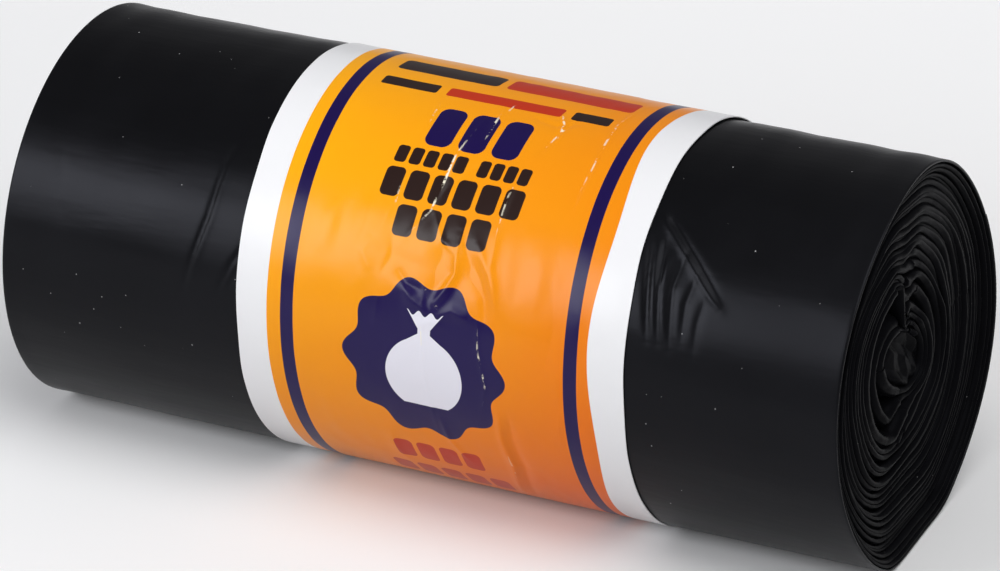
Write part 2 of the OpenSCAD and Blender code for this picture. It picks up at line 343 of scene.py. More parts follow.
# The outer turn of film: its wall, both rims and the floor of the hollow behind the wound folds
wall = {
    "lip": 0.75 * mm,
    "hollow": 15 * mm,
    "underPaper": 0.9 * mm,  # how far the film is pressed in below the paper
    "underSoft": 2.5 * mm,
    "insideLeft": 1 * mm,  # where that begins, inside the paper's edges
    "insideRight": 2 * mm,
    "front": (200, 330),  # where the photo shows the creases
    "columns": (80, 270, 110),
    "floorRows": (0.02, 0.35, 0.7, 0.98),  # shares of the radius
    "lipRows": (13.5 * mm, 7.5 * mm, 2.5 * mm, 0.75 * mm),  # depths inside the rim
    "rimRows": [0.6, 1.4, 2.4, 3.6, 5, 6.5, 8],  # rows of points, in mm from the rim
    "rightRows": [(108, 88, -1.1), (88, 54, -0.56)],  # from, to and step, closest beside the paper
    "paperRows": (53, -45, 9),
    "leftRows": [(-46, -68, -0.6), (-68, -108, -1.15)],
    "leanReach": 45 * mm,  # how far in from the ends the rows lean as the rims do
    "calm": 0.7,  # the relief is this much lower at the rim
    "calmReach": 5 * mm,
    # Height, degrees round, length along the roll and seed of the waves and the long streaks
    "waves": [(0.16 * mm, 30, 26 * mm, 3), (0.07 * mm, 7.5, 60 * mm, 4)],
    "backCreases": (0.16 * mm, 22, 7 * mm, 8),
    "backFrom": (130, 140),
    "backTo": (215, 235),
    "waveLimits": (-0.6 * mm, 0.2 * mm),
    "highest": 0.6 * mm,
    "bottom": (20, 34),  # the bottom stays flat
    "folds": [
        ([(-57.6, 36), (-58.6, 41), (-59.6, 55.4), (-62, 66), (-64.1, 75)], 0.75, -0.42),
        ([(-56.8, 36), (-57.5, 42), (-58.5, 56), (-60.8, 66), (-62.6, 74)], 0.8, 0.2),
        ([(-46, 57), (-50.9, 65.7), (-54.5, 74)], 0.7, -0.36),
        ([(-46, 62), (-49.5, 68), (-51.5, 73)], 0.6, -0.3),
        ([(-103.8, 45), (-103, 50), (-99.9, 66)], 0.7, -0.13),
        ([(58, 31), (60.2, 34.2), (69.2, 42.7), (77.4, 50.8), (80.5, 53)], 1.1, 0.62),
        ([(60, 32), (63, 34.5), (71.5, 42.5), (79.5, 50.4)], 0.9, -0.5),
        ([(57.9, 39.1), (60, 50), (62.8, 64)], 0.8, -0.6),
        ([(59.8, 39), (61.2, 48), (64, 62)], 0.8, 0.35),
        ([(61.4, 37), (62.5, 46), (65.8, 64)], 0.8, -0.62),
        ([(64.2, 40), (63.6, 50), (66.4, 62)], 0.8, 0.45),
        ([(67.8, 40), (66.6, 50), (69, 65)], 0.8, -0.52),
        ([(72.4, 45), (71, 53), (71.8, 63)], 0.9, -0.4),
        ([(76, 50), (75, 57), (75.4, 65)], 1.0, -0.28),
    ],
}


def wallRelief(x, angle, s):
    relief = np.zeros_like(x)
    for high, turn, long, seed in wall["waves"]:
        relief += high * softNoise(angle / turn, x / long, seed, round(360 / turn))
    back = (1 - smooth(angle, *wall["backTo"])) * smooth(angle, *wall["backFrom"])
    high, turn, long, seed = wall["backCreases"]
    relief += back * high * (softNoise(x / long, angle / turn, seed) - 0.5)
    relief = np.clip(relief, *wall["waveLimits"]) + foldRelief(x, s, wall["folds"])
    return np.minimum(relief, wall["highest"]) * smooth(fromBottom(angle), *wall["bottom"])


def tailDrop(angle):  # the turn below the film's free edge lies lower
    past = (angle - roll["tailAt"]) % 360
    return roll["tailStep"] * (1 - smooth(past, 0, roll["tailFade"]))


def ringPoints(x, radius, angle):
    turn = np.radians(angle)
    return np.stack([x, radius * np.sin(turn), roll["axisUp"] - radius * np.cos(turn)], -1)


label = {
    "low": -49.6 * mm,  # edges along the roll, before the lean
    "high": 57.0 * mm,
    "lean": 2.1,
    "leanTurn": 57,
    "thick": 0.25 * mm,
    "gap": 0.15 * mm,
    "lapAt": 75,
    "lapLong": 14 * mm,
    "lapStep": 3,  # degrees over which the upper end climbs on to the lower one
    "lapAfter": 4,
    "lapCalm": 8,  # the paper is smooth from so many degrees before the lap
    "lapDown": 0.02 * mm,
    "front": (182, 325),  # where the photo shows the creases
    "columns": (70, 270, 70),
    "creased": (0.012, 0.3, 0.85, 0.988),  # shares of the width, with the closest rows in the middle
    "rows": (26, 165, 14),
    "edgeFade": 0.03,  # near its edges the paper is smoother
    "edgeRelief": 0.25,
    "underEdge": 0.25 * mm,  # how far the paper's inner face lies deeper than its thickness
    "underMiddle": 0.4 * mm,
    "edgeWave": 0.35 * mm,
    "edgeStep": 14 * mm,
}


def leanOf(angle, radius):  # what the label's lean adds along the roll at this place
    turn, toward = np.radians(angle), math.radians(label["leanTurn"])
    across = radius * (np.sin(turn) * math.cos(toward) - np.cos(turn) * math.sin(toward))
    return across * math.sin(math.radians(label["lean"]))


def wallMarks():  # where the rows of points lie along the roll, from the near end to the far one
    half = roll["length"] / 2
    rims = np.array(wall["rimRows"]) * mm
    start, end, count = wall["paperRows"]
    marks = [half - rims]
    marks += [np.arange(*rows) * mm for rows in wall["rightRows"]]
    marks.append(np.linspace(start * mm, end * mm, count))
    marks += [np.arange(*rows) * mm for rows in wall["leftRows"]]
    marks.append(rims[::-1] - half)
    return np.concatenate(marks)


def makeWall():
    tail, gap = roll["tailAt"], 0.05  # the gap is the step at the film's free edge
    angle = inParts((tail + gap, *wall["front"], tail + 360 - gap), wall["columns"])
    s = np.radians(angle - 180) * roll["radius"]
    base = outline(angle) - tailDrop(angle)
    rows = []

    def addRow(x, radius):
        rows.append(ringPoints(x, radius, angle))

    def addHollow(endX, inwards):  # floor of the hollow and the inside of the lip, from the middle outwards
        for share in wall["floorRows"]:
            addRow(endX + inwards * wall["hollow"], (outline(angle) - 1.5 * wall["lip"]) * share)
        for depth in wall["lipRows"]:
            addRow(endX + inwards * depth, base - wall["lip"])

    def addLip(endX, inwards, arc):
        for t in arc:
            addRow(endX + inwards * wall["lip"] / 2 * (1 - math.sin(t)),
                   base - wall["lip"] / 2 * (1 + math.cos(t)))

    around = np.linspace(0.0, math.pi, 7)[1:-1]
    near, far = nearX(angle), farX(angle)
    addHollow(near, -1)
    addLip(near, -1, around)
    left, right = label["low"] + wall["insideLeft"], label["high"] - wall["insideRight"]
    half, soft = roll["length"] / 2, wall["underSoft"]
    for mark in wallMarks():
        nearShare = smooth(mark, half - wall["leanReach"], half)
        farShare = smooth(-mark, half - wall["leanReach"], half)
        x = mark + (near - half) * nearShare + (far + half) * farShare
        leaning = x + leanOf(angle, base)
        under = smooth(leaning, left, left + soft) * (1 - smooth(leaning, right - soft, right))
        atNear, atFar = smooth(x, near - wall["calmReach"], near), smooth(-x, -far - wall["calmReach"], -far)
        relief = wallRelief(x, angle, s) * (1 - wall["calm"] * np.maximum(atNear, atFar))
        addRow(x, base + relief * (1 - under) - wall["underPaper"] * under)
    addLip(far, 1, around[::-1])
    farRows = len(rows)
    addHollow(far, 1)
    rows[farRows:] = rows[farRows:][::-1]
    mesh = gridMesh("film_wall", np.stack(rows), closeRound=True)
    columns = len(angle)
    shape = bmesh.new()
    shape.from_mesh(mesh)
    shape.verts.ensure_lookup_table()
    rings = [[shape.verts[first + k] for k in range(columns)] for first in (0, (len(rows) - 1) * columns)]
    for ring in rings:  # close the two floors with a fan
        middle = shape.verts.new(sum((v.co for v in ring), Vector()) / columns)
        for k in range(columns):
            shape.faces.new((middle, ring[k], ring[(k + 1) % columns]))
    bmesh.ops.recalc_face_normals(shape, faces=shape.faces)
    shape.to_mesh(mesh)
    shape.free()
    return mesh


print("outer film")
makePiece("film_wall", makeWall(), wallFilm, ["bag_roll"])

# The wound turns that show at each end: a strand of folded film follows one spiral from the core outwards.
# Its place is the curve u, 0 at the eye of the core and 1 at the wall, and the angle
turns = {
    "count": 23,
    "steps": 170,
    "tightness": 0.35,
    "eyeLong": 26 * mm,
    "eyeShort": 14 * mm,
    "eyeTurn": 62,
    "eyeFront": 3.5 * mm,
    "eyeUp": 3 * mm,
    "leanFront": 4 * mm,
    "leanUp": 1.5 * mm,
    "wave": 0.5 * mm,
    "waveTurns": (4, 500),  # round the roll, and degrees from the core to the wall
    "dish": 5 * mm,
    "fill": 1.3,
    "fillMost": 1.7,
    "drape": 0.9,  # how much wider the turns lie over each other high on the end
    "drapeAt": (145, 55),  # middle and reach of that, in degrees
    "drapeFrom": (0.3, 0.45),
    "drapeTo": (0.8, 0.92),
    "thinnest": 0.2 * mm,
    "thickest": 2.6 * mm,
    "outerHalf": 0.8 * mm,  # the outer turns stay inside the wall
    "halfGrows": 20 * mm,
    "leastDish": 0.25 * mm,
    "leastTo": (0.97, 1),
    "sides": 14,
    "depth": 2.4,
    "ripple": 0.35 * mm,
    "rippleScale": 420.0,
    "bunches": 9,
    "bunching": 0.5,
    "bunchTurn": (1.1, 0.6),
    "sag": 4.2 * mm,  # the turns outside the pocket hang into it
    "sagAt": (166, 15),
    "sagCurves": (0.2, 0.245, 0.1),  # where it starts, is deepest, and how far out it reaches
    "loose": (0.3, 1.1),  # waves of the turns in mm: all round, and more high on the end
    "looseAt": (145, 35),
    "looseFrom": (0.28, 0.4),
    "looseCell": (18, 3.2),
    # Waves of the edges: height, the curve where they would end, length in degrees, and growth in the drape
    "uneven": [(0.9 * mm, 1.15, 170, 1), (0.35 * mm, 1.1, 37, 0)],
    "rings": [(0.32, 0.05, -1.3), (0.7, 0.03, -0.8), (0.88, 0.05, 1.3)],  # curve, reach and mm inwards
}
pocket = {
    "open": 0.2,  # share of the radius left open where the inner turns have come loose
    "from": 166,  # the loose turns fold over from here
    "fromMore": 12,  # and this much later from curve to curve
    "fromCurves": (0.06, 0.24),
    "foldOver": 20,
    "to": (330, 415),
    "crossFrom": (300, 330),
    "edge": 0.215,  # curve outside which the pocket opens
    "looseEdge": 0.135,
    "edgeSoft": (0.012, 0.03),  # inwards and outwards of that curve
    "crossSoft": (0.05, 0.09),
    "dip": 0.82,  # the fold comes down to the core
    "dipWide": 15,
}


def nestPlace(u, angle, seed):  # place across the roll
    turn = np.radians(angle)
    left, middle = 1 - u, 4 * u * (1 - u)
    long, short = turns["eyeLong"] / 2, turns["eyeShort"] / 2
    p = long * np.sin(turn - math.radians(turns["eyeTurn"]))
    q = short * np.cos(turn - math.radians(turns["eyeTurn"]))
    start = long * short / np.hypot(p, q)
    at = (angle - 90) % 360 + 90  # 90 to 450
    fold = pocket["from"] + pocket["fromMore"] * smooth(u, *pocket["fromCurves"])
    loose = smooth(at, fold, fold + pocket["foldOver"]) * (1 - smooth(at, *pocket["to"]))
    crossing = 4 * loose * (1 - loose) * smooth(at, *pocket["crossFrom"])
    edge = pocket["edge"] - pocket["looseEdge"] * loose
    softIn, softOut = [soft + more * crossing for soft, more in zip(pocket["edgeSoft"], pocket["crossSoft"])]
    step = smooth(u, edge - softIn, edge + softOut)
    opened = pocket["open"] * (0.5 + 0.5 * loose)
    dip = pocket["dip"] * bell(at, fold + 2, pocket["dipWide"])
    share = u * (1 - opened) * (1 - dip * (1 - step)) + opened * step
    bunch = math.tau * turns["bunches"]
    gather = turns["bunching"] / bunch * smooth(left, 0, 0.1) * step
    sway, swayTurn = turns["bunchTurn"]
    share -= gather * np.sin(bunch * u + sway * np.sin(turn + swayTurn))
    radius = start + (outline(angle) - 1.3 * wall["lip"] - start) * share
    waveRound, waveOut = turns["waveTurns"]
    radius += turns["wave"] * middle * np.sin(np.radians(waveRound * angle + waveOut * u))
    first, deepest, reach = turns["sagCurves"]
    sag = np.where(u < deepest, smooth(u, first, deepest), bell(u, deepest, reach))
    radius -= turns["sag"] * sag * bell(at, *turns["sagAt"])
    least, more = turns["loose"]
    waves = least + more * bell(at, *turns["looseAt"]) * smooth(u, *turns["looseFrom"])
    cellTurn, cellCurves = turns["looseCell"]
    noise = softNoise(angle / cellTurn, u * cellCurves, seed, round(360 / cellTurn))
    radius += waves * mm * middle * noise * step
    y = radius * np.sin(turn) - turns["eyeFront"] * left - turns["leanFront"] * middle
    z = -radius * np.cos(turn) + turns["eyeUp"] * left + turns["leanUp"] * middle
    return np.stack([y, z], -1)


def nestShare(w):  # curve that the winding has come to after w degrees
    share = np.clip(w / (360 * turns["count"]), 0, 1)
    return share * (1 + turns["tightness"] * (1 - share))


def spiralGuide(side, seed):
    w = np.linspace(0, 360 * turns["count"], turns["count"] * turns["steps"] + 1)
    angle = roll["tailAt"] + w - 360 * turns["count"]
    u = nestShare(w)
    here = nestPlace(u, angle, seed)
    inner, outer = nestPlace(nestShare(w - 360), angle, seed), nestPlace(nestShare(w + 360), angle, seed)
    toInner, toOuter = np.linalg.norm(here - inner, axis=-1), np.linalg.norm(outer - here, axis=-1)
    toInner, toOuter = np.where(w < 360, toOuter, toInner), np.where(w > w[-1] - 360, toInner, toOuter)
    room = np.minimum((toInner + toOuter) / 2, turns["fillMost"] * np.minimum(toInner, toOuter)) / 2
    at = (angle - 90) % 360 + 90
    draped = bell(at, *turns["drapeAt"]) * smooth(u, *turns["drapeFrom"]) * (1 - smooth(u, *turns["drapeTo"]))
    half = np.clip(room * (turns["fill"] + turns["drape"] * draped), turns["thinnest"], turns["thickest"])
    half = np.minimum(half, turns["outerHalf"] + (1 - u) * turns["halfGrows"])
    rim, lean = (nearX(angle), nearRim(angle)) if side > 0 else (-farX(angle), farRim(angle))
    inwards = turns["dish"] * (1 - u ** 3) - lean * (1 - u * u)
    for k, (high, ends, length, growth) in enumerate(turns["uneven"]):
        inwards += high * (ends - u) * softNoise(w / length, w * 0, seed + 1 + k) * (1 + growth * draped)
    for curve, reach, depth in turns["rings"]:  # two rings stand out and one lies deeper
        inwards += depth * mm * bell(u, curve, reach)
    inwards = np.maximum(inwards, turns["leastDish"] * (1 - smooth(u, *turns["leastTo"])))
    height = rim - inwards - turns["depth"] * half
    points = np.stack([here[:, 0], here[:, 1], side * height], -1)
    return points, half


def foldedTurnsTree():  # Geometry Nodes: a closed strand of folded film along a guide
    tree = bpy.data.node_groups.new("foldedTurns", "GeometryNodeTree")
    inputs = {"Guide": "Geometry", "Fold sides": "Int", "Depth share": "Float", "Ripple": "Float",
              "Ripple scale": "Float", "Seed": "Float", "Film": "Material"}
    for title, kind in inputs.items():
        tree.interface.new_socket(title, in_out="INPUT", socket_type="NodeSocket" + kind)
    tree.interface.new_socket("Turns", in_out="OUTPUT", socket_type="NodeSocketGeometry")
    get = tree.nodes.new("NodeGroupInput").outputs
    give = tree.nodes.new("NodeGroupOutput").inputs
    link = tree.links.new

    path = tree.nodes.new("GeometryNodeMeshToCurve")
    link(get["Guide"], path.inputs["Mesh"])
    upright = tree.nodes.new("GeometryNodeSetCurveNormal")
    upright.mode = "Z_UP"
    link(path.outputs[0], upright.inputs["Curve"])
    width = tree.nodes.new("GeometryNodeInputNamedAttribute")
    width.data_type = "FLOAT"
    width.inputs["Name"].default_value = "halfWidth"
    sized = tree.nodes.new("GeometryNodeSetCurveRadius")
    link(upright.outputs[0], sized.inputs["Curve"])
    link(width.outputs["Attribute"], sized.inputs["Radius"])

    section = tree.nodes.new("GeometryNodeCurvePrimitiveCircle")
    section.inputs["Radius"].default_value = 1.0
    link(get["Fold sides"], section.inputs["Resolution"])
    tall = tree.nodes.new("GeometryNodeTransform")
    scale = tree.nodes.new("ShaderNodeCombineXYZ")
    scale.inputs["X"].default_value = 1.0
    scale.inputs["Z"].default_value = 1.0
    link(get["Depth share"], scale.inputs["Y"])
    link(section.outputs["Curve"], tall.inputs["Geometry"])
    link(scale.outputs[0], tall.inputs["Scale"])

    strand = tree.nodes.new("GeometryNodeCurveToMesh")
    strand.inputs["Fill Caps"].default_value = True
    link(sized.outputs[0], strand.inputs["Curve"])
    link(tall.outputs[0], strand.inputs["Profile Curve"])
    if "Scale" in strand.inputs:
        link(width.outputs["Attribute"], strand.inputs["Scale"])

    noise = tree.nodes.new("ShaderNodeTexNoise")
    noise.noise_dimensions = "4D"
    noise.inputs["Detail"].default_value = 2.0
    link(get["Ripple scale"], noise.inputs["Scale"])
    link(get["Seed"], noise.inputs["W"])
    height = calc(tree, "MULTIPLY", calc(tree, "SUBTRACT", noise.outputs["Fac"], 0.5), get["Ripple"])
    out = tree.nodes.new("ShaderNodeCombineXYZ")
    link(height, out.inputs["Z"])
    rippled = tree.nodes.new("GeometryNodeSetPosition")
    link(strand.outputs[0], rippled.inputs["Geometry"])
    link(out.outputs[0], rippled.inputs["Offset"])

    real = tree.nodes.new("GeometryNodeRealizeInstances")
    finish = tree.nodes.new("GeometryNodeSetMaterial")
    link(rippled.outputs[0], real.inputs[0])
    link(real.outputs[0], finish.inputs["Geometry"])
    link(get["Film"], finish.inputs["Material"])
    link(finish.outputs[0], give["Turns"])
    return tree


foldedTurns = foldedTurnsTree()


def runTree(name, guide, tree, values):  # applies a tree to a guide mesh and gives the plain result
    holder = bpy.data.objects.new(name, guide)
    scene.collection.objects.link(holder)
    modifier = holder.modifiers.new(tree.name, "NODES")
    modifier.node_group = tree
    sockets = {item.name: item.identifier for item in tree.interface.items_tree if item.in_out == "INPUT"}
    for title, value in values.items():
        modifier[sockets[title]] = value
    depsgraph = bpy.context.evaluated_depsgraph_get()
    depsgraph.update()
    mesh = bpy.data.meshes.new_from_object(holder.evaluated_get(depsgraph), depsgraph=depsgraph)
    holder.modifiers.clear()
    bpy.data.objects.remove(holder)
    return mesh


def makeTurns(name, side, seed):
    points, half = spiralGuide(side, seed)
    guide = bpy.data.meshes.new(name + "Guide")
    guide.from_pydata(points.tolist(), [(k, k + 1) for k in range(len(points) - 1)], [])
    guide.attributes.new("halfWidth", "FLOAT", "POINT").data.foreach_set("value", half)
    mesh = runTree(name, guide, foldedTurns, {
        "Fold sides": turns["sides"], "Depth share": turns["depth"], "Ripple": turns["ripple"],
        "Ripple scale": turns["rippleScale"], "Seed": float(seed), "Film": turnFilm})
    # The guide lies flat, so its height becomes the way along the roll
    mesh.transform(Matrix(((0, 0, 1, 0), (1, 0, 0, 0), (0, 1, 0, roll["axisUp"]), (0, 0, 0, 1))))
    mesh.name = name
    return mesh


print("wound turns")
for name, side, seed in (("near_turns", 1, 11), ("far_turns", -1, 23)):
    makePiece(name, makeTurns(name, side, seed), turnFilm, ["bag_roll"])

# The crumpled inner end of the film, which fills the eye of the core at each end
core = {
    "long": 13.7 * mm,
    "short": 7.7 * mm,
    "in": 1.0 * mm,
    "thick": 7 * mm,
    "folds": [(-1.2, -2.2), (-0.82, 1.5), (-0.6, 0.1), (-0.1, 0.7), (0.3, -0.8), (0.72, 0.7),
              (1.2, -1.2)],  # each fold's place across the eye and its height in mm
    "bend": 0.3,  # how much the folds wander, and how much they slant
    "slant": 0.2,
    "crossFolds": 0.28 * mm,
    "crossAlong": 1.7,
    "crossAcross": 0.8,
    "crossBend": 0.35,
    "edgeDrop": 1.5 * mm,
    "rows": 44,
    "step": 2.5,
}


def makeCore(name, side, seed):
    share = np.linspace(0.02, 1, core["rows"])[:, None]
    angle = np.radians(np.arange(0, 360, core["step"]))[None, :]
    tilt = math.radians(turns["eyeTurn"])
    along, across = core["long"] * share * np.cos(angle), core["short"] * share * np.sin(angle)
    y = along * math.sin(tilt) + across * math.cos(tilt) - turns["eyeFront"]
    z = -along * math.cos(tilt) + across * math.sin(tilt) + turns["eyeUp"]
    t, v = along / core["long"], across / core["short"]
    bend = core["bend"] * softNoise(t * 1.3 + 9, v * 0.6 + 7, seed) + core["slant"] * t
    places, heights = zip(*core["folds"])
    sheet = mm * np.interp(v + bend, places, heights)
    wander = core["crossBend"] * softNoise(t * 2 + 3, v * 2 + 5, seed + 1)
    cross = t * core["crossAlong"] + v * core["crossAcross"] + wander
    sheet += core["crossFolds"] * (4 * np.abs(cross - np.floor(cross) - 0.5) - 1)
    rim = roll["length"] / 2 - turns["dish"] - core["in"]
    front = rim + sheet * (1 - share ** 10) - core["edgeDrop"] * share ** 10
    back = np.full_like(front, rim - core["thick"])
    backRows = np.stack([back, y, z], -1)
    grid = np.concatenate([backRows[:-1:8], backRows[-1:], np.stack([front, y, z], -1)[::-1]])
    grid[..., 0] *= side
    grid[..., 2] += roll["axisUp"]
    return closeEnds(gridMesh(name, grid, closeRound=True))


print("core")
for name, side, seed in (("near_core", 1, 31), ("far_core", -1, 37)):
    makePiece(name, makeCore(name, side, seed), coreFilm, ["bag_roll"])

# The print: sizes in mm along the roll and round it from the top towards the front
printed = {
    "field": (-41.0, 47.9),
    "edgeWave": 0.9,  # the field's right edge waves by this much
    "edgeWaveTurn": (0.11, 0.48),  # in radians: for each mm, and at the top
    "stripes": [(-37.2, -33.6), (40.8, 44.4)],
    "middle": 3.6,
    "half": 37.2,
    "sealDown": 82.0,
    "sealRadius": 21.1,
    "lobe": 1.4,
    "lobes": 10,
    "lobeTurn": 20,
    "edge": 0.14,  # softness of a printed edge
    "space": 0.2,
    "round": 0.18,
    "white": (0.82, 0.82, 0.83, 1),
    "orange": (0.95, 0.40, 0.001, 1),  # high on the left
    "deepOrange": (0.77, 0.12, 0.001, 1),  # low on the right
    "acrossShare": 0.52,  # of the change from one orange to the other
    "downShare": 0.48,
    "toneStart": -0.1,
    "toneMottle": 0.2,
    "downFrom": 40,
    "downOver": 80,
    "navy": (0.008, 0.0015, 0.06, 1),
    "dark": (0.020, 0.008, 0.006, 1),
    "red": (0.50, 0.028, 0.003, 1),
    "sackWhite": (0.77, 0.76, 0.83, 1),
    "bare": (0.90, 0.84, 0.66, 1),  # the paper where a sharp crease has cracked the print, painted lighter than the paper as a glint along the crease
}
marks = {
    "mark": 8,
    "small": 5,
    "large": 13.4,
    "bar": 7.5,
    "thin": 4,
    "sealSpace": 8.6,
    "rowSpace": 1.4,
    "barSpace": 5.2,
    "lowerSpace": 4.2,
}
# The tied sack on the seal, in units of half its width. A sloping side is its slope and where it starts
sack = {
    "unit": 10.5,  # in mm
    "down": 0.3,
    "foot": 0.82,
    "shoulder": (-1.5, 1.79),  # the shoulders draw in towards the neck
    "shoulderFrom": 0.85,
    "shoulderTo": 1.25,
    "neck": 0.16,
    "flank": (0.75, -0.75),
    "frillFrom": 1.2,
    "frillTo": 1.58,
    "frillWave": 0.06,
    "frillStep": 0.32,
}


def rowPlaces():  # middles of the rows, past the seal's upper or lower edge
    last = -marks["sealSpace"] - marks["mark"] / 2
    second = last - marks["mark"] - marks["rowSpace"]
    small = second - marks["mark"] / 2 - marks["rowSpace"] - marks["small"] / 2
    large = small - marks["small"] / 2 - marks["rowSpace"] - marks["large"] / 2
    thin = large - marks["large"] / 2 - marks["barSpace"] - marks["thin"] / 2
    bar = thin - marks["thin"] / 2 - marks["barSpace"] - marks["bar"] / 2
    lower = marks["lowerSpace"] + marks["mark"] / 2
    lowest = lower + marks["mark"] + marks["lowerSpace"]
    return last, second, small, large, thin, bar, lower, lowest


lastRow, secondRow, smallRow, largeRow, thinRow, barRow, lowerRow, lowestRow = rowPlaces()
# Each row: its middle, its height, and runs from one share of the print to another with their marks
markRows = {
    "navy": [(largeRow, marks["large"], [(-0.39, 0.35, 3)])],
    "dark": [(barRow, marks["bar"], [(-0.92, -0.16, 1)]),
             (thinRow, marks["thin"], [(-0.92, -0.5, 1), (0.5, 0.78, 1)]),
             (smallRow, marks["small"], [(-0.52, 0.02, 5), (0.09, 0.49, 4)]),
             (secondRow, marks["mark"], [(-0.54, 0.52, 6)]),
             (lastRow, marks["mark"], [(-0.37, 0.36, 4)])],
    "red": [(barRow, marks["bar"], [(-0.1, 0.84, 1)]),
            (thinRow, marks["thin"], [(-0.43, 0.43, 1)]),
            (lowerRow, marks["mark"], [(-0.35, 0.33, 4)]),
            (lowestRow, marks["mark"], [(-0.46, 0.45, 5)])],
}


def softEdge(tree, depth, unit=1.0):  # 1 inside a printed shape, from how deep inside it a place lies
    return calc(tree, "MULTIPLY_ADD", depth, unit / printed["edge"], 0.5, clamp=True)


def between(tree, value, low, high):  # 1 from low to high, with a soft edge
    off = calc(tree, "ABSOLUTE", calc(tree, "SUBTRACT", value, (low + high) / 2))
    return softEdge(tree, calc(tree, "SUBTRACT", (high - low) / 2, off))


def markGroup():  # a run of marks with round corners
    group, inside, outside = newGroup("markRun", [
        ("Along", 0.0), ("Round", 0.0), ("Row", 0.0), ("Start", 0.0), ("Pitch", 1.0), ("Last", 0.0),
        ("Half width", 1.0), ("Half height", 1.0), ("Corner", 0.5)], ["Mask"])
    get = inside.outputs
    share = calc(group, "DIVIDE", calc(group, "SUBTRACT", get["Along"], get["Start"]), get["Pitch"])
    number = calc(group, "MINIMUM", calc(group, "MAXIMUM", calc(group, "FLOOR", share), 0.0), get["Last"])
    centre = calc(group, "MULTIPLY_ADD", calc(group, "ADD", number, 0.5), get["Pitch"], get["Start"])
    dx = calc(group, "ABSOLUTE", calc(group, "SUBTRACT", get["Along"], centre))
    dy = calc(group, "ABSOLUTE", calc(group, "SUBTRACT", get["Round"], get["Row"]))
    dx = calc(group, "SUBTRACT", dx, calc(group, "SUBTRACT", get["Half width"], get["Corner"]))
    dy = calc(group, "SUBTRACT", dy, calc(group, "SUBTRACT", get["Half height"], get["Corner"]))
    far = distance(group, calc(group, "MAXIMUM", dx, 0.0), calc(group, "MAXIMUM", dy, 0.0))
    near = calc(group, "MINIMUM", calc(group, "MAXIMUM", dx, dy), 0.0)
    edge = calc(group, "SUBTRACT", get["Corner"], calc(group, "ADD", far, near))
    group.links.new(softEdge(group, edge), outside.inputs["Mask"])
    return group


def rowsMask(tree, group, along, around, rows):
    total = None
    sealEdge = printed["sealRadius"] + printed["lobe"]
    for past, height, runs in rows:
        row = printed["sealDown"] + past + (sealEdge if past > 0 else -sealEdge)
        for start, end, count in runs:
            pitch = printed["half"] * (end - start) / count
            space = 0 if count == 1 else pitch * printed["space"]
            corner = min(printed["round"] * height, (pitch - space) / 3)
            node = useGroup(tree, group, Along=along, Round=around, Row=row,
                            Start=printed["middle"] + printed["half"] * start, Pitch=pitch, Last=count - 1.0,
                            Half_width=(pitch - space) / 2, Half_height=height / 2, Corner=corner)
            mask = node.outputs["Mask"]
            total = mask if total is None else calc(tree, "MAXIMUM", total, mask)
    return total


def sealMasks(tree, along, around):  # the scalloped seal and the tied sack on it
    x = calc(tree, "SUBTRACT", along, printed["middle"])
    y = calc(tree, "SUBTRACT", printed["sealDown"], around)
    angle = calc(tree, "ARCTAN2", y, x)
    lobeTurn = math.radians(printed["lobeTurn"])
    wave = calc(tree, "COSINE", calc(tree, "MULTIPLY_ADD", angle, printed["lobes"], lobeTurn))
    rim = calc(tree, "MULTIPLY_ADD", wave, printed["lobe"], printed["sealRadius"])
    seal = softEdge(tree, calc(tree, "SUBTRACT", rim, distance(tree, x, y)))
    px = calc(tree, "ABSOLUTE", calc(tree, "DIVIDE", x, sack["unit"]))
    py = calc(tree, "ADD", calc(tree, "DIVIDE", y, sack["unit"]), sack["down"])

    def below(value, limit):
        return softEdge(tree, calc(tree, "SUBTRACT", limit, value), sack["unit"])

    def above(limit):
        return below(calc(tree, "MULTIPLY", py, -1.0), -limit)

    belly = calc(tree, "MINIMUM", below(distance(tree, px, py), 1.0), above(-sack["foot"]))
    slope = calc(tree, "MULTIPLY_ADD", py, *sack["shoulder"])
    shoulder = below(px, calc(tree, "MAXIMUM", slope, sack["neck"]))
    shoulder = calc(tree, "MINIMUM", shoulder, below(py, sack["shoulderTo"]))
    shoulder = calc(tree, "MINIMUM", shoulder, above(sack["shoulderFrom"]))
    flank = below(px, calc(tree, "MULTIPLY_ADD", py, *sack["flank"]))
    waves = calc(tree, "COSINE", calc(tree, "MULTIPLY", px, math.tau / sack["frillStep"]))
    crest = below(py, calc(tree, "MULTIPLY_ADD", waves, -sack["frillWave"], sack["frillTo"]))
    frill = calc(tree, "MINIMUM", calc(tree, "MINIMUM", flank, crest), above(sack["frillFrom"]))
    return seal, calc(tree, "MAXIMUM", calc(tree, "MAXIMUM", belly, shoulder), frill)


paper = {
    "rough": 0.24,
    "mottling": 0.12,
    "gloss": 0.27,
    "grain": 140.0,
    "stretch": 0.8,
    "ripple": 0.12 * mm,
    "bump": 0.4,
    "flakesAndGlints": (520.0, 2.0),  # scale and detail of the flakes that come off along a crack, which also break the painted glints into dashes
    "flakeAndGlintShare": (9.0, -4.4),
    "crackAndGlintShare": (2.5, -0.9),
}


